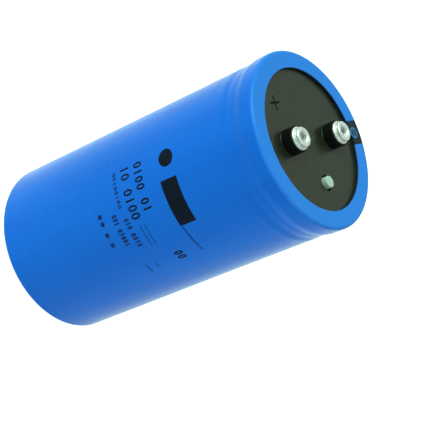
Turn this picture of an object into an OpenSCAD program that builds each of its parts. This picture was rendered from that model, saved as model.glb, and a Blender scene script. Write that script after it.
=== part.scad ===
// Large can electrolytic capacitor with two tapped screw terminals.
// Origin: centre of the base. +Z: up to the terminals. +X: from the plus to the minus terminal.
// All sizes are in millimetres.

/* [Case] */
// Diameter over the sleeve along the straight wall
case_d = 76.6; // [60:0.2:92]
// Height from the base to the top of the rim
case_h = 146; // [115:1:200]
// Thickness of the shrunk sleeve
sleeve_t = 0.35; // [0.2:0.05:0.6]
// Thickness of the can's drawn wall
can_wall = 0.8; // [0.5:0.05:1.1]
// Thickness of the can's floor
can_floor_t = 1.0; // [0.7:0.1:2]
// Rounding of the base edge, over the sleeve
base_edge_r = 1.5; // [1.3:0.1:3]
// Thickness of the insulating disc under the can
base_disc_t = 0.5; // [0.3:0.1:1.2]
// Width of the sleeve's hem turned in under the base
base_hem = 6.5; // [3:0.5:12]

/* [Rim] */
// How far the rolled rim stands out past the straight wall
rim_step = 0.7; // [0.4:0.1:2]
// Height of the rim's straight band, from its top
rim_band = 6; // [3:0.1:7]
// Rounding of the rim's outer edge, over the sleeve
rim_edge_r = 1.5; // [1.4:0.1:2.4]
// Width of the sleeve's hem turned in over the rim
rim_hem = 7.85; // [6:0.05:10]
// Width of the can's rolled lip
lip_w = 5; // [3.5:0.1:5.4]
// How far the lip's edge is turned down into the seal
lip_turn = 0.6; // [0.3:0.1:1.2]
// Drop from the rim's top to the middle of the bead
bead_drop = 14; // [12:0.5:20]
// Radius of the rolled bead's hollow
bead_r = 2.6; // [1.8:0.1:3]
// Depth of the bead in the can's wall
bead_depth = 1.9; // [1.2:0.1:2.4]
// How far the sleeve sinks into the bead
sleeve_dip = 0.2; // [0.1:0.1:1]
// How far the wall swells just below the bead
shoulder_rise = 0.1; // [0:0.05:0.6]

/* [Deck] */
// Depth of the deck's face below the rim
deck_recess = 1.5; // [1:0.1:3]
// Height of the rubber seal above the deck's ledge
seal_h = 4.5; // [3:0.1:5.5]
// Diameter of the moulded boss round each terminal
boss_d = 11.3; // [10.6:0.1:14]
// Height of each boss above the deck's face
boss_h = 4.8; // [3:0.1:8]
// Length of the plus sign's strokes
mark_l = 6.4; // [4:0.1:8]
// Width of the plus sign's strokes
mark_w = 0.8; // [0.5:0.1:1.5]
// Depth of the moulded plus sign
mark_depth = 0.35; // [0.2:0.05:0.8]
// Distance from the plus sign's middle to the edge of the opening
mark_inset = 7.4; // [5:0.1:9]
// Direction of the plus sign from the deck's middle, in degrees from +X
mark_angle = 133.6; // [115:0.1:150]

/* [Terminals] */
// Distance between the two terminals
pitch = 31.8; // [26:0.1:36]
// Diameter of the tapped hole's wall
tap_d = 4.2; // [3.3:0.1:5]
// Depth of the tapped hole from the terminal's top
tap_depth = 10; // [6:0.5:11]
// Diameter of the countersink at the hole's mouth
countersink_d = 5.4; // [5.2:0.1:6.4]
// Diameter of the flange that sits on the boss
flange_d = 9.9; // [9:0.1:10.5]
// Thickness of the flange
flange_t = 0.9; // [0.6:0.1:2]
// Diameter of the neck between the flange and the collar
neck_d = 7.6; // [7:0.1:8.2]
// Height of the neck
neck_t = 0.7; // [0.4:0.1:1.5]
// Diameter of the contact collar at the top
collar_d = 8.4; // [8.3:0.1:9.8]
// Height of the contact collar
collar_t = 1.1; // [0.6:0.1:3]
// Diameter of the shank through the deck
shank_d = 7.2; // [6.6:0.1:8]
// Across-corners size of the hexagon that stops the shank turning
key_d = 10.6; // [9:0.1:12]
// Height of that hexagon
key_h = 2.6; // [1.5:0.1:4]
// Diameter of the pad under the deck
pad_d = 10; // [8.5:0.1:12]
// Thickness of that pad
pad_t = 1.5; // [1:0.1:2.5]
// Diameter of the rivet post under the pad
post_d = 3; // [2:0.1:4]
// Diameter of the peened rivet head
rivet_head_d = 5.2; // [4:0.1:6.4]
// Height of the peened rivet head
rivet_head_h = 0.9; // [0.6:0.1:1.4]
// Diameter of the washer under the rivet head
washer_d = 7.4; // [6.6:0.1:9]
// Thickness of that washer
washer_t = 0.8; // [0.5:0.1:1.2]

/* [Vent] */
// Place of the vent plug along X
vent_x = 0.85; // [-6:0.05:6]
// Place of the vent plug along Y
vent_y = -18.8; // [-21:0.1:-14]
// Diameter of the plug's head
vent_d = 5.2; // [4:0.1:7]
// Height of the head above the deck's face
vent_rise = 1.8; // [0.5:0.1:3]
// Gap round the head in its well
vent_gap = 0.75; // [0.2:0.05:1]
// Depth of the well in the deck's face
vent_well = 1.2; // [0.5:0.1:2]
// Diameter of the plug's stem through the deck
stem_d = 3.2; // [2:0.1:3.8]
// Diameter of the barb below the deck
barb_d = 4.4; // [4:0.1:6]

/* [Winding] */
// Room round the wound foil and paper roll in the can
winding_gap = 2.5; // [1:0.05:6]
// Diameter of the hole that the winding spindle leaves
core_d = 8; // [5:0.5:14]
// Room between the winding and the deck, for the tabs
headroom = 15.4; // [13:0.1:22]
// Thickness of the board disc under the winding
floor_pad_t = 1; // [0.5:0.1:2]
// Thickness of the board disc on the winding
top_board_t = 0.5; // [0.3:0.1:1.5]
// Height of the compound that anchors the winding's foot
compound_h = 20; // [8:1:30]
// Width of each closing tape
tape_w = 20; // [10:1:25]
// Thickness of each closing tape
tape_t = 0.2; // [0.1:0.05:0.4]
// Thickness of one foil tab
tab_t = 0.3; // [0.15:0.05:0.4]
// Width of one foil tab
tab_w = 6; // [5:0.1:8]
// Distance from the outermost tab to the edge of the roll
tab_inset = 4.8; // [4.5:0.1:6]
// Length of a tab held between the turns of the roll
tab_root = 6; // [3:0.5:12]
// Radius of a tab's bend
tab_bend_r = 1.2; // [0.6:0.1:1.8]

/* [Hidden] */
$fn = 96;

// Clearances
fit_gap = 0.15;       // the deck's edge in the can
window_gap = 0.5;     // the tabs in the top board's windows
board_gap = 0.45;     // a board disc's edge in the can
cut = 1;              // how far a cutting shape runs past the face it cuts

// Repeats
tab_count = 4;
tape_count = 2;

// Case
case_r = case_d / 2;
rim_r = case_r + rim_step;
opening_r = rim_r - rim_hem;
base_flat_r = case_r - base_edge_r;
can_z0 = sleeve_t + base_disc_t;
can_inner_r = case_r - sleeve_t - can_wall;
can_corner_r = base_edge_r - sleeve_t;
can_top = case_h - sleeve_t;
lip_under = can_top - can_wall;
lip_r = rim_r - lip_w;

// Bead, its shoulder and the flare of the rim
bead_z = case_h - bead_drop;
bead_bump_r = bead_r + can_wall;
bead_axis_r = case_r - sleeve_t - bead_depth + bead_r;
dip_width = 1.5;
shoulder_z = bead_z - 3.3;
shoulder_width = 1.8;
flare_top = case_h - rim_band;
flare_h = 4.4;
outline_step = 0.6;
outline_from = shoulder_z - 3 * shoulder_width;

// Deck and seal
deck_z0 = bead_z + bead_bump_r;
deck_face = case_h - deck_recess;
ledge_z = can_top - seal_h;
seal_r = opening_r + 0.2;
seal_outer_r = rim_r - rim_edge_r;
deck_edge_r = min(wall_r(deck_z0) - sleeve_t - can_wall, seal_outer_r) - fit_gap;
boss_top = deck_face + boss_h;
edge_break = 0.3;

// Terminals
terminal_x = pitch / 2;
key_z = deck_z0 + 2.2;
pad_z = deck_z0 - pad_t;
washer_z = pad_z - tab_count * tab_t - washer_t;
terminal_top = boss_top + flange_t + neck_t + collar_t;
countersink_h = (countersink_d - tap_d) / 2;
drill_tip_h = tap_d / 2 * tan(31);

// Vent
well_z = deck_face - vent_well;
barb_h = 1.2;

// Winding
floor_z = can_z0 + can_floor_t;
winding_z0 = floor_z + floor_pad_t;
winding_top = deck_z0 - headroom;
winding_r = can_inner_r - winding_gap;
board_r = can_inner_r - board_gap;
compound_z0 = floor_z + max(floor_pad_t, can_corner_r);

// Tabs: the legs stand evenly between the riveted stack and the edge of the roll
leg_first = terminal_x + washer_d / 2 + tab_bend_r;
leg_last = winding_r - tab_inset;

function smooth(t) = let (s = min(1, max(0, t))) s * s * (3 - 2 * s);
function bell(t) = exp(-t * t);

// Radius over the sleeve at a height: straight wall, shoulder, bead and the rim's flare
function wall_r(z) = z <= outline_from ? case_r : case_r
    + rim_step * smooth((z - flare_top + flare_h) / flare_h)
    - sleeve_dip * bell((z - bead_z) / dip_width)
    + shoulder_rise * bell((z - shoulder_z) / shoulder_width);

function arc(centre, r, from, to, steps = 8) =
    [for (i = [0:steps]) let (a = from + (to - from) * i / steps) centre + r * [cos(a), sin(a)]];
function reversed(list) = [for (i = [len(list) - 1:-1:0]) list[i]];

// The case's section from the base edge to the rim's flat top, inset from the sleeve's outer face,
// with its base lifted by a height
function case_side(inset, lift = 0) = concat(
    arc([base_flat_r, base_edge_r + lift], base_edge_r - inset, -90, 0),
    [for (z = [outline_from:outline_step:flare_top]) [wall_r(z) - inset, z]],
    arc([rim_r - rim_edge_r, case_h - rim_edge_r], rim_edge_r - inset, 0, 90));

function sleeve_side(inset) = concat(
    [[base_flat_r + base_edge_r - base_hem, inset]],
    case_side(inset),
    [[opening_r, case_h - inset]]);

module bead_section(r) {
    translate([bead_axis_r, bead_z]) circle(r);
}

// The lip's turned-down edge, which bites into the seal
module lip_edge_section() {
    translate([lip_r, lip_under - lip_turn]) square([can_wall, lip_turn + can_wall / 2]);
    translate([lip_r + can_wall / 2, lip_under - lip_turn]) circle(d = can_wall);
}

module can_cavity_section() {
    inset = sleeve_t + can_wall;
    difference() {
        polygon(concat(
            [[0, floor_z]],
            arc([can_inner_r - can_corner_r, floor_z + can_corner_r], can_corner_r, -90, 0),
            [for (z = [outline_from:outline_step:flare_top]) [wall_r(z) - inset, z]],
            arc([rim_r - rim_edge_r, case_h - rim_edge_r], rim_edge_r - inset, 0, 90),
            [[lip_r, lip_under], [lip_r, can_top + cut], [0, can_top + cut]]));
        bead_section(bead_bump_r);
    }
}

module insulating_sleeve() {
    color("#2f7fe0")
    rotate_extrude() polygon(concat(sleeve_side(0), reversed(sleeve_side(sleeve_t))));
}

module base_disc() {
    color("#20242a")
    translate([0, 0, sleeve_t]) cylinder(r = base_flat_r, h = base_disc_t);
}

module metal_can() {
    color("#c8cacc")
    rotate_extrude() {
        difference() {
            polygon(concat([[0, can_z0]], case_side(sleeve_t, base_disc_t), [[0, can_top]]));
            can_cavity_section();
            bead_section(bead_r);
        }
        lip_edge_section();
    }
}

module rim_seal() {
    color("#14161a")
    rotate_extrude() difference() {
        union() {
            translate([seal_r, ledge_z]) square([seal_outer_r - seal_r, lip_under - ledge_z]);
            translate([seal_r, lip_under]) square([lip_r - seal_r, can_wall]);
        }
        lip_edge_section();
    }
}

// The shape that the shank, key and pad take up in the moulding
module terminal_shank() {
    translate([0, 0, pad_z]) cylinder(d = pad_d, h = pad_t);
    translate([0, 0, pad_z + pad_t / 2]) cylinder(d = shank_d, h = boss_top - pad_z - pad_t / 2);
    translate([0, 0, key_z]) cylinder(d = key_d, h = key_h, $fn = 6);
}

module tapped_hole() {
    translate([0, 0, terminal_top - tap_depth]) cylinder(d = tap_d, h = tap_depth + cut);
    translate([0, 0, terminal_top - tap_depth - drill_tip_h]) cylinder(d1 = 0, d2 = tap_d, h = drill_tip_h);
    translate([0, 0, terminal_top - countersink_h])
        cylinder(d1 = tap_d, d2 = tap_d + 2 * (countersink_h + cut), h = countersink_h + cut);
}

// Turned head above the boss: flange, neck and contact collar, with their edges broken
module terminal_head() {
    flange_r = flange_d / 2;
    collar_r = collar_d / 2;
    neck_z = boss_top + flange_t;
    collar_z = neck_z + neck_t;
    rotate_extrude() polygon([
        [0, boss_top], [flange_r, boss_top], [flange_r, neck_z - edge_break],
        [flange_r - edge_break, neck_z], [neck_d / 2, neck_z], [neck_d / 2, collar_z],
        [collar_r, collar_z], [collar_r, terminal_top - edge_break],
        [collar_r - edge_break, terminal_top], [0, terminal_top]]);
}

module terminal() {
    difference() {
        union() {
            terminal_head();
            terminal_shank();
            translate([0, 0, washer_z]) cylinder(d = post_d, h = pad_z - washer_z + pad_t / 2);
            translate([0, 0, washer_z - rivet_head_h])
                cylinder(d1 = post_d, d2 = rivet_head_d, h = rivet_head_h);
        }
        tapped_hole();
    }
}

module terminal_plus() {
    color("#dfe3de") translate([-terminal_x, 0, 0]) terminal();
}

module terminal_minus() {
    color("#dfe3de") translate([terminal_x, 0, 0]) terminal();
}

module washer() {
    translate([0, 0, washer_z]) difference() {
        cylinder(d = washer_d, h = washer_t);
        translate([0, 0, -cut]) cylinder(d = post_d, h = washer_t + 2 * cut);
    }
}

module washer_plus() {
    color("#b9bcbd") translate([-terminal_x, 0, 0]) washer();
}

module washer_minus() {
    color("#b9bcbd") translate([terminal_x, 0, 0]) washer();
}

// Disc with a ledge for the seal, which its face stands above
module deck_disc() {
    rotate_extrude() polygon([
        [0, deck_z0], [deck_edge_r, deck_z0], [deck_edge_r, ledge_z],
        [seal_r, ledge_z], [seal_r, deck_face], [0, deck_face]]);
}

module boss() {
    r = boss_d / 2;
    rotate_extrude() polygon([
        [0, deck_face - cut], [r, deck_face - cut], [r, boss_top - edge_break],
        [r - edge_break, boss_top], [0, boss_top]]);
}

module plus_sign() {
    reach = opening_r - mark_inset;
    place = [reach * cos(mark_angle), reach * sin(mark_angle), deck_face - mark_depth];
    translate(place) linear_extrude(mark_depth + cut) {
        square([mark_l, mark_w], center = true);
        square([mark_w, mark_l], center = true);
    }
}

module deck() {
    color("#3c4238")
    difference() {
        union() {
            deck_disc();
            for (side = [-1, 1]) translate([side * terminal_x, 0, 0]) boss();
        }
        for (side = [-1, 1]) translate([side * terminal_x, 0, 0]) terminal_shank();
        translate([vent_x, vent_y, well_z]) cylinder(d = vent_d + 2 * vent_gap, h = vent_well + cut);
        translate([vent_x, vent_y, deck_z0 - cut]) cylinder(d = stem_d, h = deck_face - deck_z0 + cut);
        plus_sign();
    }
}

module vent_plug() {
    color("#a9b8ac")
    translate([vent_x, vent_y, 0]) {
        translate([0, 0, well_z]) cylinder(d = vent_d, h = vent_well + vent_rise);
        translate([0, 0, deck_z0 - barb_h / 2]) cylinder(d = stem_d, h = well_z - deck_z0 + barb_h);
        translate([0, 0, deck_z0 - barb_h]) cylinder(d1 = stem_d, d2 = barb_d, h = barb_h);
    }
}

// One foil tab: a leg that rises from the roll, a bend and a lug riveted under the terminal.
// Tab 1 rises furthest out, and its lug lies uppermost.
module tab(index) {
    leg_x = leg_last - (leg_last - leg_first) * (index - 1) / (tab_count - 1);
    lug_z = pad_z - tab_t * index;
    foot_z = winding_top - tab_root;
    lug_end = terminal_x - washer_d / 2;
    bend = [leg_x + tab_t - tab_bend_r, lug_z + tab_t - tab_bend_r];
    difference() {
        translate([0, tab_w / 2, 0]) rotate([90, 0, 0]) linear_extrude(tab_w) polygon(concat(
            [[leg_x + tab_t, foot_z]],
            arc(bend, tab_bend_r, 0, 90),
            [[lug_end, lug_z + tab_t], [lug_end, lug_z]],
            arc(bend, tab_bend_r - tab_t, 90, 0),
            [[leg_x, foot_z]]));
        translate([terminal_x, 0, lug_z - cut]) cylinder(d = post_d, h = tab_t + 2 * cut);
    }
}

module anode_tab(index) {
    color("#d5d7d8") mirror([1, 0, 0]) tab(index);
}

module cathode_tab(index) {
    color("#d5d7d8") tab(index);
}

module winding() {
    color("#b99b6b")
    difference() {
        translate([0, 0, winding_z0]) cylinder(r = winding_r, h = winding_top - winding_z0);
        translate([0, 0, winding_z0 - cut]) cylinder(d = core_d, h = winding_top - winding_z0 + 2 * cut);
        for (side = [0, 1], index = [1:tab_count]) mirror([side, 0, 0]) tab(index);
    }
}

// Tape bands that close the roll, spread evenly along it
module closing_tape(index) {
    from = compound_z0 + compound_h;
    z = from + (winding_top - from) * (index - 0.5) / tape_count - tape_w / 2;
    color("#d9d2a8")
    translate([0, 0, z]) difference() {
        cylinder(r = winding_r + tape_t, h = tape_w);
        translate([0, 0, -cut]) cylinder(r = winding_r, h = tape_w + 2 * cut);
    }
}

module floor_pad() {
    color("#a78a5c")
    translate([0, 0, floor_z]) cylinder(r = board_r - base_edge_r, h = floor_pad_t);
}

// Board disc with a window for each terminal's tabs
module top_board() {
    window_l = leg_last + tab_t - leg_first + 2 * window_gap;
    color("#a78a5c")
    translate([0, 0, winding_top]) difference() {
        cylinder(r = board_r, h = top_board_t);
        for (side = [0, 1]) mirror([side, 0, 0])
            translate([leg_first - window_gap, -tab_w / 2 - window_gap, -cut])
                cube([window_l, tab_w + 2 * window_gap, top_board_t + 2 * cut]);
    }
}

module anchor_compound() {
    color("#2b211a")
    translate([0, 0, compound_z0]) difference() {
        cylinder(r = can_inner_r, h = compound_h);
        translate([0, 0, -cut]) cylinder(r = winding_r, h = compound_h + 2 * cut);
    }
}

insulating_sleeve();
base_disc();
metal_can();
rim_seal();
deck();
terminal_plus();
terminal_minus();
washer_plus();
washer_minus();
vent_plug();
winding();
closing_tape(1);  // closing_tape_1
closing_tape(2);  // closing_tape_2
floor_pad();
top_board();
anchor_compound();
anode_tab(1);  // anode_tab_1
anode_tab(2);  // anode_tab_2
anode_tab(3);  // anode_tab_3
anode_tab(4);  // anode_tab_4
cathode_tab(1);  // cathode_tab_1
cathode_tab(2);  // cathode_tab_2
cathode_tab(3);  // cathode_tab_3
cathode_tab(4);  // cathode_tab_4
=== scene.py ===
"""Looks of a large can electrolytic capacitor with two tapped screw terminals.

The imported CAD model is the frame. Each class builds the finished surfaces of one sub-assembly round
it and dresses them. Sizes are in millimetres, and a Workpiece turns them into metres at the end.
"""
import logging
import math
from collections.abc import Callable, Iterable
from dataclasses import dataclass
from enum import Enum

import bmesh
import bpy
from mathutils import Matrix, Vector


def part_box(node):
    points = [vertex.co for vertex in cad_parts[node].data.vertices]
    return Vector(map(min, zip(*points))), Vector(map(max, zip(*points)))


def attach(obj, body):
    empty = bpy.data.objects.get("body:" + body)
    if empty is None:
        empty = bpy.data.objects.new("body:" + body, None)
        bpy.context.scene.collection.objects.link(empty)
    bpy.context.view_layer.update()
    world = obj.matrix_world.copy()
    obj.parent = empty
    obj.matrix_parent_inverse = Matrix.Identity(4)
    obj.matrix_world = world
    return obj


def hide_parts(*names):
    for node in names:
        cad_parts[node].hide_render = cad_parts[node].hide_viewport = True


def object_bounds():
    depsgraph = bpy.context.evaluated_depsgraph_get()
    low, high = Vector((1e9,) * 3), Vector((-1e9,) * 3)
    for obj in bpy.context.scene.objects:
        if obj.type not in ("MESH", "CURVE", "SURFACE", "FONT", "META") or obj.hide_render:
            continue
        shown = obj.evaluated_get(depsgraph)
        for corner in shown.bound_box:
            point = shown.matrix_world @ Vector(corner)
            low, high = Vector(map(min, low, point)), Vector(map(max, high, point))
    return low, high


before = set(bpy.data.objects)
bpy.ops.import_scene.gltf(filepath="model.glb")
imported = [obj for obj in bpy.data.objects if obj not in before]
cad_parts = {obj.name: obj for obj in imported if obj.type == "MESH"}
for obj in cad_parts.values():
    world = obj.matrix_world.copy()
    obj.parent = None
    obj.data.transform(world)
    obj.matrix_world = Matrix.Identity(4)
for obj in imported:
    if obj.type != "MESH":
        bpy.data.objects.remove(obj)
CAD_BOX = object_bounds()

LOG = logging.getLogger("capacitor")
MM = 0.001
TURN = 2 * math.pi
UP = Vector((0, 0, 1))
# How far in mm a tool runs past the face that it cuts or welds.
OVER = 1.0

# Radius, height and rounding of an outline's corner.
Corner = tuple[float, float, float]
Triple = tuple[float, float, float]
# Waves round a turn, a height and a starting angle in radians.
Wave = tuple[int, float, float]
# What a shader's input takes: a link or a fixed value.
Value = bpy.types.NodeSocket | float | tuple[float, ...]


def linear(code: str) -> tuple[float, float, float, float]:
    """Turns an sRGB hex colour into what a shader socket takes.

    Args:
        code: Six hex digits after a hash sign.

    Returns:
        Linear red, green and blue, and an alpha of 1.
    """
    shares = [int(code[i:i + 2], 16) / 255 for i in (1, 3, 5)]
    light = [s / 12.92 if s <= 0.04045 else ((s + 0.055) / 1.055) ** 2.4 for s in shares]
    return light[0], light[1], light[2], 1.0


def add_node(
    tree: bpy.types.NodeTree, kind: str, inputs: dict[str | int, Value] | None = None, **settings: object
) -> bpy.types.Node:
    """Adds one node with its settings, fixed inputs and links.

    Args:
        tree: The tree that takes the node.
        kind: Blender's name for the node's type.
        inputs: A fixed value, or the socket that feeds it, for each named input.
        settings: Values of the node's own properties.

    Returns:
        The new node.
    """
    node = tree.nodes.new(kind)
    for name, setting in settings.items():
        setattr(node, name, setting)
    for key, value in (inputs or {}).items():
        if isinstance(value, bpy.types.NodeSocket):
            tree.links.new(value, node.inputs[key])
        else:
            node.inputs[key].default_value = value
    return node


class Texture(Enum):
    """The patterns that a surface's layers are drawn with."""

    CLOUDS = "ShaderNodeTexNoise"
    GRAINS = "ShaderNodeTexVoronoi"
    RINGS = "ShaderNodeTexWave"


class Joining(Enum):
    """How one solid is combined with another."""

    CUT = "DIFFERENCE"
    WELD = "UNION"


@dataclass(frozen=True)
class Layer:
    """One pattern laid over a surface.

    Attributes:
        texture: What it is drawn with.
        size: Spacing of its features in mm.
        depth: Height of its relief in mm.
        draw: How many times longer its features are along X, Y and Z.
        centre: Point in mm that rings go round.
        detail: How many finer octaves it carries.
    """

    texture: Texture
    size: float
    depth: float = 0.0
    draw: Triple = (1.0, 1.0, 1.0)
    centre: Triple = (0.0, 0.0, 0.0)
    detail: float = 3.0

    def paint(self, tree: bpy.types.NodeTree, place: bpy.types.NodeSocket) -> bpy.types.NodeSocket:
        """Adds the pattern to a material.

        Args:
            tree: The material's nodes.
            place: The coordinates that it is drawn on, in metres.

        Returns:
            The socket with its strength, from 0 to 1.
        """
        shrink = tuple(1 / d for d in self.draw)
        moved = tuple(-c * MM * s for c, s in zip(self.centre, shrink))
        mapped = add_node(tree, "ShaderNodeMapping", {"Vector": place, "Location": moved, "Scale": shrink})
        step = self.size * MM
        if self.texture is Texture.RINGS:
            # A wave texture repeats every pi / 10 of its own unit.
            inputs = {"Scale": math.pi / 10 / step, "Detail": self.detail, "Distortion": 0.6}
            settings = {"wave_type": "RINGS", "rings_direction": "Z"}
        else:
            inputs = {"Scale": 1 / step, "Detail": self.detail}
            settings = {}
        node = add_node(tree, self.texture.value, {"Vector": mapped.outputs[0], **inputs}, **settings)
        return node.outputs["Distance" if self.texture is Texture.GRAINS else "Fac"]


@dataclass(frozen=True)
class Finish:
    """A material that varies in colour, gloss and relief over its surface.

    Attributes:
        name: What the real material is and how it was made.
        colour: Its main colour.
        drift: The colour that it drifts to.
        tone: The layer that the drift follows.
        span: Strengths of the tone layer where the drift starts and is full.
        gloss: Lowest and highest roughness.
        rub: The layer that the roughness follows.
        relief: The layers of its relief, the broadest first.
        sockets: Fixed values on the shader.
        mirrored: Whether patterns repeat on both sides of X = 0.
    """

    name: str
    colour: str
    drift: str
    tone: Layer
    gloss: tuple[float, float]
    rub: Layer
    relief: tuple[Layer, ...]
    span: tuple[float, float] = (0.3, 0.7)
    sockets: tuple[tuple[str, float | Triple], ...] = ()
    mirrored: bool = False

    def tint(
        self, tree: bpy.types.NodeTree, place: bpy.types.NodeSocket, colour: bpy.types.NodeSocket
    ) -> bpy.types.NodeSocket:
        """Returns the colour socket after any change of colour that this finish adds."""
        return colour

    def material(self) -> bpy.types.Material:
        """Builds the material, or finds it if it was built before.

        Returns:
            The material.
        """
        found = bpy.data.materials.get(self.name)
        if found:
            return found
        made = bpy.data.materials.new(self.name)
        made.use_nodes = True
        tree = made.node_tree
        tree.nodes.clear()
        place = add_node(tree, "ShaderNodeTexCoord").outputs["Object"]
        if self.mirrored:
            folded = add_node(tree, "ShaderNodeVectorMath", {0: place}, operation="ABSOLUTE")
            place = folded.outputs[0]
        drift = add_node(tree, "ShaderNodeMapRange", {
            "Value": self.tone.paint(tree, place), "From Min": self.span[0], "From Max": self.span[1]})
        tone = add_node(tree, "ShaderNodeMix", {
            0: drift.outputs[0], 6: linear(self.colour), 7: linear(self.drift)}, data_type="RGBA")
        rough = add_node(tree, "ShaderNodeMapRange", {
            "Value": self.rub.paint(tree, place), "From Min": 0.3, "From Max": 0.7,
            "To Min": self.gloss[0], "To Max": self.gloss[1]})
        inputs: dict[str | int, Value] = {
            "Base Color": self.tint(tree, place, tone.outputs[2]), "Roughness": rough.outputs[0]}
        for layer in self.relief:
            bump = add_node(tree, "ShaderNodeBump", {
                "Height": layer.paint(tree, place), "Distance": layer.depth * MM})
            if "Normal" in inputs:
                tree.links.new(inputs["Normal"], bump.inputs["Normal"])
            inputs["Normal"] = bump.outputs[0]
        inputs.update(dict(self.sockets))
        shader = add_node(tree, "ShaderNodeBsdfPrincipled", inputs)
        add_node(tree, "ShaderNodeOutputMaterial", {"Surface": shader.outputs[0]})
        return made


@dataclass(frozen=True)
class FilmWithPaintedRimLight(Finish):
    """A shrunk film painted paler towards the rim: a painted highlight over the rim's rounded edge and
    painted light on its top, over a little real paling where stretching thins the film.

    Attributes:
        rim_light_colour: Its colour at the rim, which holds the painted highlight and painted light.
        pale_from: Height in mm where the paling starts.
        pale_to: Height in mm where it is full.
    """

    rim_light_colour: str = "#ffffff"
    pale_from: float = 0.0
    pale_to: float = 1.0

    def tint(
        self, tree: bpy.types.NodeTree, place: bpy.types.NodeSocket, colour: bpy.types.NodeSocket
    ) -> bpy.types.NodeSocket:
        """Pales the colour towards the rim, as a painted highlight and painted light there.

        Args:
            tree: The material's nodes.
            place: The surface's coordinates, in metres.
            colour: The colour so far.

        Returns:
            The colour with the paling.
        """
        height = add_node(tree, "ShaderNodeSeparateXYZ", {0: place}).outputs["Z"]
        share = add_node(tree, "ShaderNodeMapRange", {
            "Value": height, "From Min": self.pale_from * MM, "From Max": self.pale_to * MM})
        mixed = add_node(tree, "ShaderNodeMix", {
            0: share.outputs[0], 6: colour, 7: linear(self.rim_light_colour)}, data_type="RGBA")
        return mixed.outputs[2]


def clouds(size: float, depth: float = 0.0, draw: Triple = (1.0, 1.0, 1.0), detail: float = 3.0) -> Layer:
    """Returns a layer of soft clouds with features of that size in mm."""
    return Layer(Texture.CLOUDS, size, depth, draw, detail=detail)


# Heat-shrunk PVC tube: a smooth, soft gloss with a slow swell from shrinking, a fine orange peel and
# faint draw lines up the can. Towards the rim its colour is painted paler: a painted highlight over the
# rounded edge and painted light on the rim's top, over a little real paling where stretching thins it. It
# goes greener at a slant.
SHRUNK_PVC = FilmWithPaintedRimLight(
    "shrunk_pvc_film", "#0058BA", "#015EC2", clouds(16, draw=(1, 1, 5)), (0.2, 0.28), clouds(7),
    (clouds(11, 0.02, (1, 1, 2), 1), clouds(1.8, 0.0022), clouds(0.9, 0.0012, (1, 1, 30))),
    sockets=(("IOR", 1.53), ("Specular IOR Level", 0.07), ("Sheen Weight", 0.12), ("Sheen Roughness", 0.35),
             ("Sheen Tint", (0.0, 1.0, 0.45, 1))),
    rim_light_colour="#2873CD", pale_from=144.4, pale_to=145.8)
# The same film where the ink was left out, so it shows as a lighter blue.
BARE_FILM = Finish(
    "pvc_film_window", "#3A74B0", "#2F66A0", clouds(3), (0.3, 0.4), clouds(2), (clouds(0.8, 0.002),),
    sockets=(("IOR", 1.53), ("Specular IOR Level", 0.3)))
# Screen-printed ink: near-black blue and duller than the film, worn through in small specks.
SCREENED_INK = Finish(
    "screened_ink", "#020D1B", "#083066", clouds(0.7, detail=5), (0.42, 0.6), clouds(1.2),
    (clouds(0.4, 0.003),), span=(0.62, 0.76), sockets=(("IOR", 1.5), ("Specular IOR Level", 0.05)))
# The small print came out thin, so the film's blue shows through most of it.
THIN_INK = Finish(
    "thin_screened_ink", "#051A3A", "#0B3F8C", clouds(1.1, detail=5), (0.4, 0.55), clouds(1.2),
    (clouds(0.4, 0.002),), span=(0.45, 0.7), sockets=(("IOR", 1.5), ("Specular IOR Level", 0.05)))
# Ink rolled over the rim by hand: blue-black, uneven, and thin over the rounded edge.
ROLLED_INK = Finish(
    "rolled_ink", "#041A21", "#092833", clouds(2.4, detail=5), (0.32, 0.5), clouds(1.5),
    (clouds(0.6, 0.004),), span=(0.45, 0.75), sockets=(("IOR", 1.5), ("Specular IOR Level", 0.2)))
# Glass-filled phenolic from a polished mould: dark olive with a satin skin that mirrors what stands on
# it, clouded by the flow of the filler and pitted by fine grain.
MOULDED_PHENOLIC = Finish(
    "moulded_phenolic", "#11140E", "#191D14", clouds(6, detail=5), (0.3, 0.42), clouds(3.5),
    (clouds(9, 0.004, detail=1), clouds(0.35, 0.0016)),
    sockets=(("IOR", 1.6), ("Specular IOR Level", 0.55), ("Specular Tint", (0.82, 0.96, 0.62, 1))))
# The same moulding where the mould was left spark-eroded, on the bosses and in the recesses: matt, and
# painted a darker black there as painted shade.
MATT_PHENOLIC_PAINTED_SHADE = Finish(
    "matt_phenolic_painted_shade", "#050604", "#0A0B08", clouds(2.5, detail=4), (0.6, 0.75), clouds(1.5),
    (clouds(0.5, 0.008), clouds(0.25, 0.003)), sockets=(("IOR", 1.6), ("Specular IOR Level", 0.08)))
# Turned aluminium: silver with concentric tool marks round each hole and a thin oxide that scatters light.
# The tool's real feed is about 0.08 mm; the rings are drawn at 0.22 mm so that they show.
TURNED_ALUMINIUM = Finish(
    "turned_aluminium", "#F0F4EF", "#DDE2DD", clouds(1.6, detail=4), (0.3, 0.45), clouds(0.9),
    (Layer(Texture.RINGS, 0.22, 0.003, centre=(15.9, 0, 0), detail=1), clouds(0.5, 0.002)),
    sockets=(("Metallic", 0.74),), mirrored=True)
# Moulded silicone rubber: pale grey-green, soft and a little see-through, with a dry matt skin.
MOULDED_SILICONE = Finish(
    "moulded_silicone", "#A9BBAF", "#9AAEA1", clouds(2.2), (0.42, 0.55), clouds(1.2),
    (clouds(0.5, 0.004),),
    sockets=(("IOR", 1.41), ("Subsurface Weight", 0.1), ("Subsurface Radius", (0.0012, 0.0014, 0.0012))))
# Pressed EPDM rubber: black, dull, with a bloom of dust in its grain.
PRESSED_RUBBER = Finish(
    "pressed_epdm_rubber", "#0B0C0D", "#17191A", clouds(1.5), (0.55, 0.75), clouds(1.0),
    (clouds(0.4, 0.006),), sockets=(("IOR", 1.52), ("Specular IOR Level", 0.3)))
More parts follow.
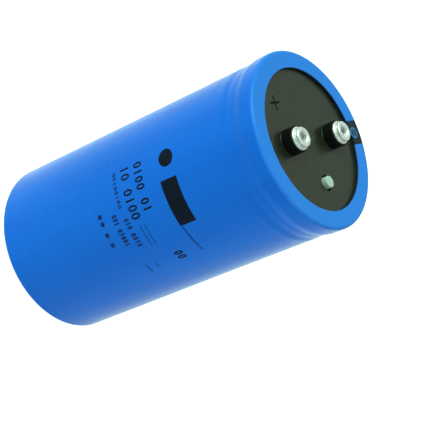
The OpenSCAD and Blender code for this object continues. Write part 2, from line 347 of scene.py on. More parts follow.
# Die-cut fibre sheet, varnished black: matt, with short pressed fibres.
FIBRE_SHEET = Finish(
    "die_cut_fibre_sheet", "#191B1D", "#26292C", clouds(0.9, draw=(4, 1, 1), detail=5), (0.5, 0.7),
    clouds(1.4), (clouds(0.5, 0.012, (5, 1, 1)), clouds(0.35, 0.006)), sockets=(("IOR", 1.5),))
# Deep-drawn aluminium: dull silver with long draw lines up the wall.
DRAWN_ALUMINIUM = Finish(
    "deep_drawn_aluminium", "#C9CCCE", "#B4B8BB", clouds(9, detail=4), (0.3, 0.45),
    clouds(0.8, draw=(1, 1, 20)), (clouds(0.5, 0.004, (1, 1, 30)),), sockets=(("Metallic", 1.0),))
# Rolled aluminium foil, riveted and folded: bright, lightly creased.
ROLLED_FOIL = Finish(
    "rolled_aluminium_foil", "#DADDDE", "#C6CACC", clouds(2.5), (0.14, 0.28), clouds(1.2),
    (clouds(2.0, 0.02), clouds(0.3, 0.003, (1, 12, 1))), sockets=(("Metallic", 1.0),))
# Stamped aluminium washers: tumbled, so evenly dulled with tiny dents.
STAMPED_ALUMINIUM = Finish(
    "stamped_aluminium", "#BFC3C5", "#AAAFB2", clouds(1.2), (0.35, 0.5), clouds(0.8),
    (Layer(Texture.GRAINS, 0.5, 0.01),), sockets=(("Metallic", 1.0),))
# Kraft paper wound with foil: brown, soaked, with edges of its turns as rings on the ends.
# A real turn is about 0.2 mm thick; the rings are drawn at 0.9 mm so that they show.
WOUND_PAPER = Finish(
    "wound_kraft_paper", "#A98A5B", "#8F7146", Layer(Texture.RINGS, 0.9, detail=2), (0.45, 0.7),
    clouds(3), (Layer(Texture.RINGS, 0.9, 0.06, detail=2), clouds(0.4, 0.02, (3, 3, 1))),
    sockets=(("IOR", 1.5),))
# Calendered pressboard: tan, matt, with short fibres.
PRESSBOARD = Finish(
    "calendered_pressboard", "#A88B5E", "#967A50", clouds(1.2, draw=(4, 1, 1), detail=5), (0.6, 0.8),
    clouds(1.5), (clouds(0.5, 0.02, (4, 1, 1)),), sockets=(("IOR", 1.5),))
# Polyester tape: thin, yellowish and shiny, with ripples from being pulled tight.
POLYESTER_TAPE = Finish(
    "polyester_tape", "#C9BC7E", "#B8AA69", clouds(5, draw=(1, 1, 3)), (0.18, 0.3), clouds(3),
    (clouds(3, 0.02, (1, 1, 4)),), sockets=(("IOR", 1.6), ("Coat Weight", 0.3)))
# Set anchoring compound: dark brown, poured, with a glossy skin and slow ripples.
POURED_COMPOUND = Finish(
    "poured_bitumen", "#1E1611", "#2C2119", clouds(6), (0.15, 0.35), clouds(4),
    (clouds(7, 0.1), clouds(0.8, 0.01)), sockets=(("IOR", 1.6),))
# Sanded opal acrylic, lit from below by slightly cool lamps: a plain pale floor that hardly shows a shadow.
OPAL_ACRYLIC = Finish(
    "sanded_opal_acrylic", "#959595", "#939393", clouds(120), (0.8, 0.9), clouds(60),
    (clouds(2.5, 0.01),),
    sockets=(("Specular IOR Level", 0.1), ("Emission Strength", 1.0),
             ("Emission Color", (0.93, 1.04, 0.97, 1))))


class Workpiece:
    """A mesh that is worked in millimetres and ends as a piece in metres."""

    def __init__(self) -> None:
        """Starts with an empty mesh."""
        self.mesh = bmesh.new()

    def outline(self, corners: Iterable[Corner], segments: int = 5) -> None:
        """Draws half a section as a chain of edges, to be turned about an axis.

        Args:
            corners: Radius, height and rounding of each corner, in order.
            segments: Edges in each rounded corner.
        """
        drawn = [(self.mesh.verts.new((r, 0, z)), rounding) for r, z, rounding in corners]
        for (first, _), (second, _) in zip(drawn, drawn[1:]):
            self.mesh.edges.new((first, second))
        for vertex, rounding in drawn:
            if rounding:
                bmesh.ops.bevel(
                    self.mesh, geom=[vertex], offset=rounding, offset_type="OFFSET", segments=segments,
                    profile=0.5, material=-1, affect="VERTICES")

    def turn(self, steps: int) -> None:
        """Spins the outline a full turn about Z and closes its seam and poles.

        Args:
            steps: Faces round the turn.
        """
        geometry = [*self.mesh.verts, *self.mesh.edges]
        bmesh.ops.spin(
            self.mesh, geom=geometry, cent=(0, 0, 0), axis=UP, angle=TURN, steps=steps,
            use_merge=True, use_duplicate=False)
        self.heal()

    def heal(self) -> None:
        """Merges doubles and turns every face outwards."""
        bmesh.ops.remove_doubles(self.mesh, verts=self.mesh.verts, dist=1e-4)
        bmesh.ops.recalc_face_normals(self.mesh, faces=self.mesh.faces)

    def slice(self, point: Triple, normal: Triple, faces: Iterable[bmesh.types.BMFace] | None = None,
              drop: bool = False) -> list[bmesh.types.BMEdge]:
        """Cuts the mesh along a plane.

        Args:
            point: A point on the plane.
            normal: The plane's normal.
            faces: The faces to cut, or all of them.
            drop: Whether what lies on the normal's side is removed.

        Returns:
            The edges along the cut.
        """
        chosen = list(self.mesh.faces if faces is None else faces)
        edges = {e for f in chosen for e in f.edges}
        verts = {v for f in chosen for v in f.verts}
        result = bmesh.ops.bisect_plane(
            self.mesh, geom=[*verts, *edges, *chosen], dist=1e-6, plane_co=point, plane_no=normal,
            clear_outer=drop)
        return [g for g in result["geom_cut"] if isinstance(g, bmesh.types.BMEdge)]

    def move(self, by: Triple) -> None:
        """Moves the whole mesh by a distance along each axis."""
        bmesh.ops.translate(self.mesh, verts=self.mesh.verts, vec=by)

    def thicken(self, height: float) -> None:
        """Makes a solid of every flat face by raising a copy of it along Z."""
        grown = bmesh.ops.extrude_face_region(self.mesh, geom=self.mesh.faces, use_keep_orig=True)["geom"]
        raised = [g for g in grown if isinstance(g, bmesh.types.BMVert)]
        bmesh.ops.translate(self.mesh, verts=raised, vec=(0, 0, height))

    def shape(self, rule: Callable[[Vector], Vector]) -> None:
        """Moves each vertex to where a rule puts it."""
        for vertex in self.mesh.verts:
            vertex.co = rule(vertex.co)

    def draft(self, name: str) -> bpy.types.Object:
        """Returns the mesh as an object in millimetres, and gives up the mesh."""
        data = bpy.data.meshes.new(name)
        self.mesh.to_mesh(data)
        self.mesh.free()
        draft = bpy.data.objects.new(name, data)
        bpy.context.scene.collection.objects.link(draft)
        return draft

    def combine(self, other: "Workpiece", joining: Joining) -> None:
        """Cuts another solid out of this one or welds it on.

        Args:
            other: The other solid, which is used up.
            joining: What is done with it.
        """
        body, tool = self.draft("body"), other.draft("tool")
        modifier = body.modifiers.new("combine", "BOOLEAN")
        modifier.object = tool
        modifier.operation = joining.value
        modifier.solver = "EXACT"
        done = body.evaluated_get(bpy.context.evaluated_depsgraph_get())
        self.mesh = bmesh.new()
        self.mesh.from_mesh(done.to_mesh())
        for used in (body, tool):
            data = used.data
            bpy.data.objects.remove(used)
            bpy.data.meshes.remove(data)

    def piece(self, name: str, finishes: Iterable[Finish], stands_for: str = "", slot: str = "",
              crease: float = 30.0) -> bpy.types.Object:
        """Ends the work: scales to metres, shades, dresses and seats the piece on the root body.

        Args:
            name: The piece's name.
            finishes: A finish for each material index of its faces.
            stands_for: The CAD node that it replaces, if it replaces one.
            slot: The record's slot that its finish comes from, if there is one; not used.
            crease: Angle in degrees from which an edge stays sharp.

        Returns:
            The piece.
        """
        bmesh.ops.scale(self.mesh, verts=self.mesh.verts, vec=(MM, MM, MM))
        made = self.draft(name)
        for finish in finishes:
            made.data.materials.append(finish.material())
        made.data.shade_smooth()
        made.data.set_sharp_from_angle(angle=math.radians(crease))
        weights = made.modifiers.new("flat_faces_first", "WEIGHTED_NORMAL")
        weights.keep_sharp = True
        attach(made, "root")
        if stands_for:
            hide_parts(stands_for)
        LOG.info("%s: %d faces", name, len(made.data.polygons))
        return made


def turned(corners: Iterable[Corner], steps: int, segments: int = 5) -> Workpiece:
    """Returns a solid of revolution about Z from the corners of its half section."""
    work = Workpiece()
    work.outline(corners, segments)
    work.turn(steps)
    return work


def top_of(node: str) -> float:
    """Returns the height in mm of a CAD node's highest point."""
    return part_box(node)[1].z / MM


def foot_of(node: str) -> float:
    """Returns the height in mm of a CAD node's lowest point."""
    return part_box(node)[0].z / MM


def axis_of(node: str) -> tuple[float, float]:
    """Returns where the middle of a CAD node stands along X and Y, in mm."""
    low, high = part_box(node)
    return (low.x + high.x) / 2 / MM, (low.y + high.y) / 2 / MM


@dataclass
class Sleeve:
    """The shrunk film over the can, from its hem under the base to its hem over the rim.

    Attributes:
        radius: Straight wall.
        film: Thickness of the film.
        base_edge: Rounding of the base edge.
        base_hem: Width of the hem under the base.
        rim_step: How far the rim stands out past the wall.
        rim_band: Height of the rim's straight band.
        rim_edge: Rounding of the rim's outer edge.
        rim_hem: Width of the hem over the rim.
        bead_drop: Drop from the rim's top to the bead.
        dip: Depth and half width of the film's dip in the bead.
        shoulder: Height and half width of the swelling below the bead, and its distance.
        flare: Height over which the wall widens to the rim.
        patch: Half width of the inked patch on the rim.
        seam: How far each hem's first ring lies in from the case's edge.
        pleats: Short waves of the base hem's pucker.
        swells: Long waves of the rim hem's sag.
        pucker: Height of the base hem's pucker.
        sag: Least and further sag of the rim's hem.
        bead_rings: Rings that shape the bead.
        hem_rings: Rings that shape each hem.
        steps: Faces round the film.
    """

    radius: float = 38.3
    film: float = 0.35
    base_edge: float = 1.5
    base_hem: float = 6.5
    rim_step: float = 0.7
    rim_band: float = 6.0
    rim_edge: float = 1.5
    rim_hem: float = 7.85
    bead_drop: float = 14.0
    dip: tuple[float, float] = (0.2, 1.5)
    shoulder: Triple = (0.1, 1.8, 3.3)
    flare: float = 4.4
    patch: float = 5.3
    seam: float = 3.0
    pleats: tuple[Wave, ...] = ((31, 0.24, 0.7), (47, 0.16, 2.1))
    swells: tuple[Wave, ...] = ((5, 0.3, 1.2), (9, 0.2, 0.0))
    pucker: float = 0.16
    sag: tuple[float, float] = (0.03, 0.05)
    bead_rings: int = 45
    hem_rings: int = 4
    steps: int = 256

    def __post_init__(self) -> None:
        """Takes the heights from the CAD frame."""
        self.top = top_of("insulating_sleeve")
        self.rim = self.radius + self.rim_step
        self.bead = self.top - self.bead_drop
        self.band = self.top - self.rim_band
        self.wall_top = self.bead - self.shoulder[2] - 3 * self.shoulder[1]

    def wall(self, height: float) -> float:
        """Returns the film's outer radius at a height: straight, then shoulder, bead and flare."""
        rise = min(1.0, max(0.0, (height - self.band + self.flare) / self.flare))
        swell = math.exp(-(((height - self.bead + self.shoulder[2]) / self.shoulder[1]) ** 2))
        sink = math.exp(-(((height - self.bead) / self.dip[1]) ** 2))
        flared = self.rim_step * rise * rise * (3 - 2 * rise)
        return self.radius + flared + self.shoulder[0] * swell - self.dip[0] * sink

    def settle(self, point: Vector) -> Vector:
        """Lets both hems pucker as shrunk film does, without leaving the CAD box.

        Args:
            point: Where a vertex stands.

        Returns:
            Where it lies.
        """
        angle = math.atan2(point.y, point.x)
        pleat, swell = (
            0.5 + sum(height * math.sin(count * angle + start) for count, height, start in waves)
            for waves in (self.pleats, self.swells))
        reach = math.hypot(point.x, point.y)
        flat = 1e-3
        settled = point.copy()
        if point.z < flat:
            inward = min(1.0, max(0.0, (self.radius - self.base_edge - reach) / self.base_hem))
            settled.z += self.pucker * pleat * inward
        elif point.z > self.top - flat:
            inward = min(1.0, max(0.0, (self.rim - self.rim_edge - reach) / self.rim_hem))
            settled.z -= (self.sag[0] + self.sag[1] * swell) * inward ** 3
        return settled

    def build(self) -> None:
        """Builds the film, with the patch of ink on its rim."""
        work = Workpiece()
        work.outline([
            (self.radius - self.base_hem, 0, 0), (self.radius - self.seam, 0, 0),
            (self.radius, 0, self.base_edge), (self.radius, self.wall_top, 0), (self.rim, self.band, 0),
            (self.rim, self.top, self.rim_edge), (self.rim - self.seam, self.top, 0),
            (self.rim - self.rim_hem, self.top, 0)], segments=8)
        bead = [e for e in work.mesh.edges
                if {round(v.co.z, 3) for v in e.verts} == {round(self.wall_top, 3), round(self.band, 3)}]
        inner = bmesh.ops.subdivide_edges(work.mesh, edges=bead, cuts=self.bead_rings)["geom_inner"]
        for vertex in (g for g in inner if isinstance(g, bmesh.types.BMVert)):
            vertex.co.x = self.wall(vertex.co.z)
        hems = [e for e in work.mesh.edges if e.verts[0].co.z == e.verts[1].co.z]
        bmesh.ops.subdivide_edges(work.mesh, edges=hems, cuts=self.hem_rings)
        work.turn(self.steps)
        for side in (-1, 1):
            near = [f for f in work.mesh.faces
                    if f.calc_center_median().x > 0 and f.calc_center_median().z > self.band]
            work.slice((0, side * self.patch, 0), (0, 1, 0), near)
        for face in work.mesh.faces:
            middle = face.calc_center_median()
            face.material_index = int(
                middle.x > 0 and middle.z > self.band and abs(middle.y) < self.patch)
        work.shape(self.settle)
        bmesh.ops.solidify(work.mesh, geom=work.mesh.faces, thickness=self.film)
        work.piece("sleeve", [SHRUNK_PVC, ROLLED_INK], "insulating_sleeve", "sleeve_film")


class Ink(Enum):
    """How strongly a mark is printed."""

    FULL = 0
    THIN = 1


@dataclass(frozen=True)
class Row:
    """A row of plain marks in the place of printed words.

    Attributes:
        start: Angle about Z where the row starts, in degrees.
        end: Angle where it ends.
        low: Height of its foot in mm.
        high: Height of its top in mm.
        marks: A ring for each 0, a bar for each 1, and a gap for each space.
        stroke: Width of a stroke in mm.
        ink: How strongly it is printed.
    """

    start: float
    end: float
    low: float
    high: float
    marks: str
    stroke: float
    ink: Ink = Ink.FULL


@dataclass
class SleevePrint:
    """Plain marks on the sleeve's wall: rings, bars, a dot and lines, with no lettering.

    Attributes:
        radius: The wall that they lie on.
        lift: How far the ink stands above the film.
        sink: How far its back lies in the film.
        facet: Width of the strips that follow the wall's curve.
        fill: Share of a row's spacing that a ring takes up.
        ring_sides: Sides of a ring.
        dot_sides: Sides of a dot.
        sign: Middle, ring's width, bar's length and stroke of the minus sign on the rim.
        sign_sink: How far the sign's back lies in the film.
        rows: Rows of rings and bars.
        bars: Start and end angle, low and high edge, and ink of each bar and line.
        dots: Angle, height, radius and ink of each dot.
    """

    radius: float = 38.3
    lift: float = 0.02
    sink: float = 0.02
    facet: float = 0.8
    fill: float = 0.8
    ring_sides: int = 20
    dot_sides: int = 28
    sign: tuple[float, float, float, float, float] = (33.2, -0.1, 5.0, 2.6, 0.7)
    sign_sink: float = 0.1
    rows: tuple[Row, ...] = (
        Row(155.5, 188.8, 81.0, 85.5, "0100 01", 0.8),
        Row(154.5, 190.5, 73.5, 78.3, "10 0100", 0.8),
        Row(156.0, 180.2, 68.8, 70.7, "00100100", 0.5, Ink.THIN),
        Row(186.8, 207.0, 68.9, 71.9, "010 0010", 0.6, Ink.THIN),
        Row(181.7, 203.6, 63.6, 66.5, "001 01001", 0.6, Ink.THIN),
        Row(219.0, 226.8, 81.6, 86.2, "00", 0.8),
        Row(222.0, 226.0, 69.9, 70.9, "010", 0.3, Ink.THIN),
    )
    bars: tuple[tuple[float, float, float, float, Ink], ...] = (
        (174.8, 204.8, 93.8, 102.4, Ink.FULL),
        (205.4, 226.0, 94.3, 94.9, Ink.THIN),
        (194.3, 209.5, 75.5, 75.8, Ink.THIN),
        (194.3, 209.5, 77.8, 78.1, Ink.THIN),
        (220.0, 227.2, 65.4, 65.9, Ink.THIN),
    )
    dots: tuple[tuple[float, float, float, Ink], ...] = (
        (161.6, 98.9, 3.8, Ink.FULL),
        (179.8, 57.7, 1.1, Ink.THIN),
        (184.6, 57.7, 1.1, Ink.THIN),
        (192.2, 57.7, 1.1, Ink.THIN),
        (199.2, 57.7, 1.1, Ink.THIN),
    )

    def along(self, angle: float) -> float:
        """Returns the distance round the wall at an angle in degrees."""
        return math.radians(angle) * self.radius

    def stamp(self, work: Workpiece, middle: tuple[float, float], size: tuple[float, float], sides: int,
              hollow: float = 0.0) -> list[bmesh.types.BMFace]:
        """Draws one mark flat, with X round the wall and Y up it.

        Args:
            work: The sheet that it is drawn on.
            middle: Its middle.
            size: Its width and height.
            sides: 4 for a bar, more for a round mark.
            hollow: Width of the stroke that is left round a hole, or 0 for a full mark.

        Returns:
            The mark's faces.
        """
        loops = [size, (size[0] - 2 * hollow, size[1] - 2 * hollow)] if hollow else [size]
        drawn: list[bmesh.types.BMVert] = []
        for wide, high in loops:
            verts = bmesh.ops.create_circle(
                work.mesh, cap_ends=not hollow, segments=sides, radius=1.0)["verts"]
            if sides == 4:
                bmesh.ops.rotate(work.mesh, verts=verts, matrix=Matrix.Rotation(math.pi / 4, 3, "Z"))
                bmesh.ops.scale(work.mesh, verts=verts, vec=(math.sqrt(2), math.sqrt(2), 1))
            bmesh.ops.scale(work.mesh, verts=verts, vec=(wide / 2, high / 2, 1))
            drawn += verts
        bmesh.ops.translate(work.mesh, verts=drawn, vec=(*middle, 0))
        if hollow:
            bmesh.ops.bridge_loops(work.mesh, edges=list({e for v in drawn for e in v.link_edges}))
        return list({f for v in drawn for f in v.link_faces})

    def draw(self, work: Workpiece) -> None:
        """Draws every mark flat on one sheet, each with its ink's index."""
        for row in self.rows:
            left, right = self.along(row.start), self.along(row.end)
            pitch = (right - left) / len(row.marks)
            size = (pitch * self.fill, row.high - row.low)
            for place, mark in enumerate(row.marks):
                middle = (left + (place + 0.5) * pitch, (row.low + row.high) / 2)
                faces: list[bmesh.types.BMFace] = []
                if mark == "0":
                    faces = self.stamp(work, middle, size, self.ring_sides, row.stroke)
                elif mark == "1":
                    faces = self.stamp(work, middle, (row.stroke, size[1]), 4)
                for face in faces:
                    face.material_index = row.ink.value
        for start, end, low, high, ink in self.bars:
            middle = ((self.along(start) + self.along(end)) / 2, (low + high) / 2)
            size = (self.along(end) - self.along(start), high - low)
            for face in self.stamp(work, middle, size, 4):
                face.material_index = ink.value
        for angle, height, radius, ink in self.dots:
            size = (2 * radius, 2 * radius)
            for face in self.stamp(work, (self.along(angle), height), size, self.dot_sides):
                face.material_index = ink.value

    def wrap(self, point: Vector) -> Vector:
        """Returns where a point of the flat sheet lies on the wall."""
        angle, reach = point.x / self.radius, self.radius + point.z
        return Vector((reach * math.cos(angle), reach * math.sin(angle), point.y))

    def build(self) -> None:
        """Builds the marks as thin tiles of ink that follow the wall."""
        work = Workpiece()
        self.draw(work)
        start = min(v.co.x for v in work.mesh.verts)
        strips = math.ceil((max(v.co.x for v in work.mesh.verts) - start) / self.facet)
        for strip in range(1, strips):
            work.slice((start + strip * self.facet, 0, 0), (1, 0, 0))
        work.thicken(self.lift + self.sink)
        work.move((0, 0, -self.sink))
        work.shape(self.wrap)
        bmesh.ops.recalc_face_normals(work.mesh, faces=work.mesh.faces)
        work.piece("sleeve_print", [SCREENED_INK, THIN_INK])
        self.build_sign()

    def build_sign(self) -> None:
        """Builds the minus sign in its ring, left bare in the ink on the rim beside the minus terminal."""
        work = Workpiece()
        x, y, width, length, stroke = self.sign
        self.stamp(work, (x, y), (width, width), 2 * self.ring_sides, stroke)
        self.stamp(work, (x, y), (stroke, length), 4)
        work.thicken(self.lift + self.sign_sink)
        work.move((0, 0, top_of("insulating_sleeve") - self.sign_sink))
        bmesh.ops.recalc_face_normals(work.mesh, faces=work.mesh.faces)
        work.piece("rim_sign", [BARE_FILM])


@dataclass
class Base:
    """The insulating disc that shows inside the hem under the can.

    Attributes:
        edge: Rounding of its die-cut edge.
        steps: Faces round it.
    """

    edge: float = 0.12
    steps: int = 128

    def build(self) -> None:
        """Builds the disc."""
        low, high = foot_of("base_disc"), top_of("base_disc")
        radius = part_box("base_disc")[1].x / MM
        work = turned(
            [(0, low, 0), (radius, low, self.edge), (radius, high, self.edge), (0, high, 0)], self.steps, 2)
        work.piece("base_disc_sheet", [FIBRE_SHEET], "base_disc", "base_disc")


@dataclass
class Deck:
    """The moulded deck with its bosses, the seal round it and the vent plug in its well.

    Attributes:
        land: Radius of the raised face.
        ledge: Height of the ledge that carries the seal.
        face: Height of the deck's face.
        boss: Radius of a boss.
        foot: Fillet at a boss's foot.
        brim: Rounding of a boss's top edge.
        shank: Radius of the hole for a terminal's shank.
        well: Radius and floor of the vent's well.
        lip: Rounding of the well's and the holes' mouths.
        stem: Radius of the hole for the vent's stem.
        sign: Middle, length, width and depth of the plus sign.
        skin: How far from the face the mould's satin skin reaches; past it the darker copy paints shade on
            the bosses and in the recesses.
        weld: How far a boss's foot is sunk in the face, so that the two join.
        slope: How far a boss narrows to its top.
        seal_lip: Radius of the seal's raised lip.
        seal_shelf: Height of the seal outside that lip.
    """

    land: float = 31.35
    ledge: float = 141.15
    face: float = 144.5
    boss: float = 5.65
    foot: float = 0.15
    brim: float = 0.35
    shank: float = 3.6
    well: tuple[float, float] = (3.35, 143.3)
    lip: float = 0.2
    stem: float = 1.6
    sign: tuple[float, float, float, float, float] = (-16.38, 17.2, 6.4, 0.8, 0.35)
    skin: float = 0.06
    weld: float = 0.02
    slope: float = 0.03
    seal_lip: float = 34.0
    seal_shelf: float = 144.85

    def boss_solid(self, x: float) -> Workpiece:
        """Returns one boss with a filleted foot, standing at x along the terminals' line."""
        top, sunk, low = top_of("deck"), self.face - self.weld, self.face - OVER
        work = turned([
            (0, low, 0), (self.boss + self.foot, low, 0), (self.boss + self.foot, sunk, 0),
            (self.boss, sunk, self.foot), (self.boss - self.slope, top, self.brim), (0, top, 0)], 96, 6)
        work.move((x, 0, 0))
        return work

    def round_cutter(self, radius: float, floor: float, mouth: float, lip: float) -> Workpiece:
        """Returns a cutter for a round hole.

        Args:
            radius: The hole's radius.
            floor: Height of its floor.
            mouth: Height of the face that it opens in.
            lip: Rounding of its mouth.

        Returns:
            The cutter, about Z.
        """
        return turned([
            (0, floor, 0), (radius, floor, 0), (radius, mouth, lip), (radius + 2 * lip, mouth, 0),
            (radius + 2 * lip, mouth + OVER, 0), (0, mouth + OVER, 0)], 72, 4)

    def stroke_cutter(self, along_x: bool) -> Workpiece:
        """Returns the cutter for one stroke of the plus sign, with rounded ends and floor."""
        x, y, length, width, depth = self.sign
        work = Workpiece()
        bmesh.ops.create_cube(work.mesh, size=1.0)
        span = (length, width, 2 * depth) if along_x else (width, length, 2 * depth)
        bmesh.ops.scale(work.mesh, verts=work.mesh.verts, vec=span)
        bmesh.ops.bevel(
            work.mesh, geom=list(work.mesh.edges), offset=width * 0.25, offset_type="OFFSET", segments=3,
            profile=0.5, material=-1, affect="EDGES")
        work.move((x, y, self.face))
        return work

    def build_moulding(self) -> None:
        """Builds the deck as one moulding."""
        low, top, edge = foot_of("deck"), top_of("deck"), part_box("deck")[1].x / MM
        work = turned([
            (0, low, 0), (edge, low, 0.4), (edge, self.ledge, 0.3), (self.land, self.ledge, 0.2),
            (self.land, self.face, 0.25), (0, self.face, 0)], 192, 4)
        for node in ("terminal_plus", "terminal_minus"):
            work.combine(self.boss_solid(axis_of(node)[0]), Joining.WELD)
        for node in ("terminal_plus", "terminal_minus"):
            hole = self.round_cutter(self.shank, low - OVER, top, self.lip)
            hole.move((axis_of(node)[0], 0, 0))
            work.combine(hole, Joining.CUT)
        for radius, floor in (self.well, (self.stem, low - OVER)):
            hole = self.round_cutter(radius, floor, self.face, self.lip)
            hole.move((*axis_of("vent_plug"), 0))
            work.combine(hole, Joining.CUT)
        for along_x in (True, False):
            work.combine(self.stroke_cutter(along_x), Joining.CUT)
        # Every face off the deck's face, on the bosses, in the holes, the well and the plus sign, takes the
        # darker copy: painted shade.
        for face in work.mesh.faces:
            face.material_index = int(abs(face.calc_center_median().z - self.face) > self.skin)
        work.piece("deck_moulding", [MOULDED_PHENOLIC, MATT_PHENOLIC_PAINTED_SHADE], "deck", "deck", 32)

    def build_seal(self) -> None:
        """Builds the rubber ring that the can's lip bites."""
        outer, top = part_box("rim_seal")[1].x / MM, top_of("rim_seal")
        ring = [
            (self.land, self.ledge, 0.2), (outer, self.ledge, 0.2), (outer, self.seal_shelf, 0.3),
            (self.seal_lip, self.seal_shelf, 0.1), (self.seal_lip, top, 0.2), (self.land, top, 0.3)]
        work = Workpiece()
        work.outline([*ring, (self.land, self.ledge + 1, 0)], 3)
        ends = [v for v in work.mesh.verts if len(v.link_edges) == 1]
        work.mesh.edges.new(ends)
        work.turn(160)
        work.piece("rim_seal_ring", [PRESSED_RUBBER], "rim_seal", "rim_seal")

    def build_vent(self) -> None:
        """Builds the soft plug: a rounded head, a stem through the deck and a barb that holds it."""
        low, top, deck_low = foot_of("vent_plug"), top_of("vent_plug"), foot_of("deck")
        radius = (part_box("vent_plug")[1].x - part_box("vent_plug")[0].x) / 2 / MM
        barb = 2.2
        work = turned([
            (0, low, 0), (self.stem, low, 0.2), (barb, deck_low - 0.25, 0.15), (barb, deck_low, 0.1),
            (self.stem - 0.02, deck_low, 0), (self.stem - 0.02, self.well[1], 0),
            (radius, self.well[1], 0.15), (radius - 0.04, top, 0.4), (radius * 0.45, top - 0.04, 0),
            (0, top - 0.06, 0)], 72, 5)
        work.move((*axis_of("vent_plug"), 0))
        work.piece("vent_plug_rubber", [MOULDED_SILICONE], "vent_plug", "vent_plug")

    def build(self) -> None:
        """Builds the deck, its seal and its vent plug."""
        self.build_moulding()
        self.build_seal()
        self.build_vent()


@dataclass
class Terminal:
    """A turned terminal: head, shank through the deck, key, pad and peened rivet post.

    Attributes:
        node: The CAD node that it stands for.
        start: Angle in degrees at which its thread starts.
        flange: Radius and thickness of the flange.
        neck: Radius and height of the neck.
        collar: Radius of the contact collar.
        chamfer: Broken edges of the head.
        shank: Radius of the shank.
        key: Across-corners radius, foot and height of the hexagon.
        pad: Radius and foot of the pad under the deck.
        post: Radius of the rivet post.
        rivet: Radius and height of the peened head.
        thread: Minor radius, major radius and pitch.
        depth: Depth of the full thread and of the plain hole.
        countersink: Radius of the countersink at the mouth.
    """

    node: str
    start: float = 0.0
    flange: tuple[float, float] = (4.95, 0.9)
    neck: tuple[float, float] = (3.8, 0.7)
    collar: float = 4.2
    chamfer: float = 0.3
    shank: float = 3.6
    key: Triple = (5.3, 137.6, 2.6)
    pad: tuple[float, float] = (5.0, 133.9)
    post: float = 1.5
    rivet: tuple[float, float] = (2.6, 0.9)
    thread: Triple = (2.1, 2.5, 0.8)
    depth: tuple[float, float] = (9.4, 10.0)
    countersink: float = 2.7

    def body(self) -> Workpiece:
        """Returns the turned body before its hole is drilled."""
        top, low, seat = top_of(self.node), foot_of(self.node), top_of("deck")
        under, neck_low = foot_of("deck"), seat + self.flange[1]
        collar_low, cut = neck_low + self.neck[1], self.chamfer
        work = turned([
            (0, low, 0), (self.rivet[0] * 0.8, low, 0.3), (self.rivet[0], low + self.rivet[1], 0.2),
            (self.post, low + self.rivet[1], 0), (self.post, self.pad[1], 0),
            (self.pad[0], self.pad[1], cut), (self.pad[0], under, 0.1), (self.shank, under, 0),
            (self.shank, seat, 0), (self.flange[0], seat, 0.1), (self.flange[0], neck_low - cut, 0.06),
            (self.flange[0] - cut, neck_low, 0.06), (self.neck[0], neck_low, 0.12),
            (self.neck[0], collar_low, 0.08), (self.collar, collar_low, 0.1),
            (self.collar, top - cut, 0.06), (self.collar - cut, top, 0.06), (0, top, 0)], 96, 2)
        radius, foot, height = self.key
        key = Workpiece()
        bmesh.ops.create_circle(key.mesh, cap_ends=True, segments=6, radius=radius)
        key.move((0, 0, foot))
        key.thicken(height)
        key.heal()
        work.combine(key, Joining.WELD)
        return work

    def tap(self) -> Workpiece:
        """Returns the screw that cuts the thread, spun as one long helix and cut off flat at both ends."""
        minor, major, pitch = self.thread
        flank = (major - minor) * math.tan(math.radians(30))
        crest = pitch / 8
        root = pitch - 2 * flank - crest
        top = top_of(self.node)
        low, high = top - self.depth[0], top + 0.5
        turns = math.ceil((high - low) / pitch) + 2
        steps = 48
        work = Workpiece()
        work.outline([
            (minor, 0, 0), (minor, root, 0), (major, root + flank, 0), (major, root + flank + crest, 0),
            (minor, pitch, 0)])
        bmesh.ops.spin(
            work.mesh, geom=[*work.mesh.verts, *work.mesh.edges], cent=(0, 0, 0), axis=UP,
            dvec=(0, 0, pitch / steps), angle=TURN * turns, steps=steps * turns, use_duplicate=False)
        bmesh.ops.remove_doubles(work.mesh, verts=work.mesh.verts, dist=1e-4)
        work.move((0, 0, low - 1.5 * pitch))
        for height, normal in ((low, (0, 0, -1)), (high, (0, 0, 1))):
            bmesh.ops.edgenet_fill(work.mesh, edges=work.slice((0, 0, height), normal, drop=True))
        work.heal()
        return work

    def drill(self) -> Workpiece:
        """Returns the drill that leaves a plain end and a cone below the thread."""
        top, radius = top_of(self.node), self.thread[0] - 0.02
        floor = top - self.depth[1]
        return turned([
            (0, floor - radius * math.tan(math.radians(31)), 0), (radius, floor, 0),
            (radius, top - self.depth[0] + 0.3, 0), (0, top - self.depth[0] + 0.3, 0)], 48)

    def cone(self) -> Workpiece:
        """Returns the countersink's cutter."""
        top, wide, deep = top_of(self.node), self.countersink, 1.0
        return turned([(0, top - deep, 0), (wide - deep, top - deep, 0), (wide + OVER, top + OVER, 0),
                       (0, top + OVER, 0)], 96)

    def build(self) -> None:
        """Builds the terminal with its tapped hole."""
        work = self.body()
        for cutter in (self.tap(), self.drill(), self.cone()):
            work.combine(cutter, Joining.CUT)
        bmesh.ops.rotate(
            work.mesh, verts=work.mesh.verts, matrix=Matrix.Rotation(math.radians(self.start), 3, "Z"))
        work.move((*axis_of(self.node), 0))
        work.piece(f"{self.node}_turned", [TURNED_ALUMINIUM], self.node, "terminal", 25)


@dataclass
class Inside:
    """What the closed can hides: the CAD nodes stay as they are and get their materials."""

    finishes: tuple[tuple[str, Finish], ...] = (
        ("metal_can", DRAWN_ALUMINIUM),
        ("washer", STAMPED_ALUMINIUM),
        ("winding", WOUND_PAPER),
        ("closing_tape", POLYESTER_TAPE),
        ("floor_pad", PRESSBOARD),
        ("top_board", PRESSBOARD),
        ("anchor_compound", POURED_COMPOUND),
        ("anode_tab", ROLLED_FOIL),
        ("cathode_tab", ROLLED_FOIL),
    )

    def dress(self) -> None:
        """Gives each hidden node its material."""
        for stem, finish in self.finishes:
            for name in sorted(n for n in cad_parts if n.startswith(stem)):
                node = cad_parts[name]
                for slot in node.material_slots:
                    slot.material = finish.material()
                LOG.info("%s: %s", name, finish.name)


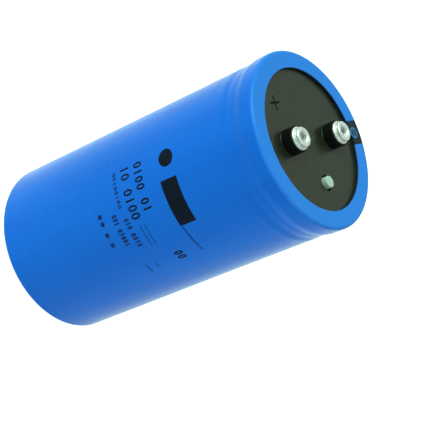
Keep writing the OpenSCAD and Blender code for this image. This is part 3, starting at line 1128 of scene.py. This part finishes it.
@dataclass
class Studio:
    """A pale floor, soft light and the camera.

    Attributes:
        floor: Half the floor's side in m.
        sky: Strength of the even light from all round.
        camera_at: Where the camera stands, in m.
        right: The camera's right-hand direction.
        up: The camera's upward direction.
        lens: Focal length in mm.
        sky_colour: The even light's colour.
        lamp_colour: The lamps' colour, a little cool as from softbox cloth.
        lamps: Name, compass angle, elevation, width in degrees and strength of each distant softbox.
    """

    floor: float = 20.0
    sky: float = 0.54
    camera_at: Triple = (-0.50327, -0.06915, 0.44626)
    right: Triple = (0.56912, -0.32505, 0.75528)
    up: Triple = (0.11965, 0.94151, 0.31504)
    lens: float = 117.12
    sky_colour: str = "#F3FFFB"
    lamp_colour: str = "#DCFFEE"
    lamps: tuple[tuple[str, float, float, float, float], ...] = (
        ("key_softbox", 112.0, 45.0, 30.0, 3.5),
        ("fill_softbox", 250.0, 20.0, 40.0, 0.45),
    )

    def lay_floor(self) -> None:
        """Lays the floor under the part."""
        work = Workpiece()
        bmesh.ops.create_grid(work.mesh, x_segments=1, y_segments=1, size=self.floor)
        work.move((0, 0, CAD_BOX[0].z))
        ground = work.draft("floor")
        ground.data.materials.append(OPAL_ACRYLIC.material())

    def light(self) -> None:
        """Sets the even light and the distant softboxes."""
        scene = bpy.context.scene
        scene.world = bpy.data.worlds.new("studio")
        scene.world.use_nodes = True
        tree = scene.world.node_tree
        tree.nodes.clear()
        sky = add_node(
            tree, "ShaderNodeBackground", {"Color": linear(self.sky_colour), "Strength": self.sky})
        add_node(tree, "ShaderNodeOutputWorld", {"Surface": sky.outputs[0]})
        for name, compass, elevation, width, strength in self.lamps:
            lamp = bpy.data.lights.new(name, "SUN")
            lamp.angle, lamp.energy = math.radians(width), strength
            lamp.color = linear(self.lamp_colour)[:3]
            box = bpy.data.objects.new(name, lamp)
            box.rotation_euler = (0, math.radians(90 - elevation), math.radians(compass))
            scene.collection.objects.link(box)

    def place_camera(self) -> None:
        """Places the camera and sets plain tone mapping."""
        scene = bpy.context.scene
        right, up = Vector(self.right).normalized(), Vector(self.up).normalized()
        back = right.cross(up).normalized()
        data = bpy.data.cameras.new("camera")
        data.lens, data.sensor_width = self.lens, 36.0
        data.clip_start, data.clip_end = 0.01, 100.0
        camera = bpy.data.objects.new("camera", data)
        camera.matrix_world = (
            Matrix.Translation(self.camera_at) @ Matrix((right, up, back)).transposed().to_4x4())
        scene.collection.objects.link(camera)
        scene.camera = camera
        scene.view_settings.view_transform = "Standard"

    def build(self) -> None:
        """Sets up the whole studio."""
        self.place_camera()
        self.lay_floor()
        self.light()


def main() -> None:
    """Builds every sub-assembly in order."""
    logging.basicConfig(level=logging.INFO, format="%(name)s: %(message)s")
    Studio().build()
    Inside().dress()
    Base().build()
    Deck().build()
    Terminal("terminal_plus").build()
    Terminal("terminal_minus", 70.0).build()
    Sleeve().build()
    SleevePrint().build()


if __name__ == "__main__":
    main()
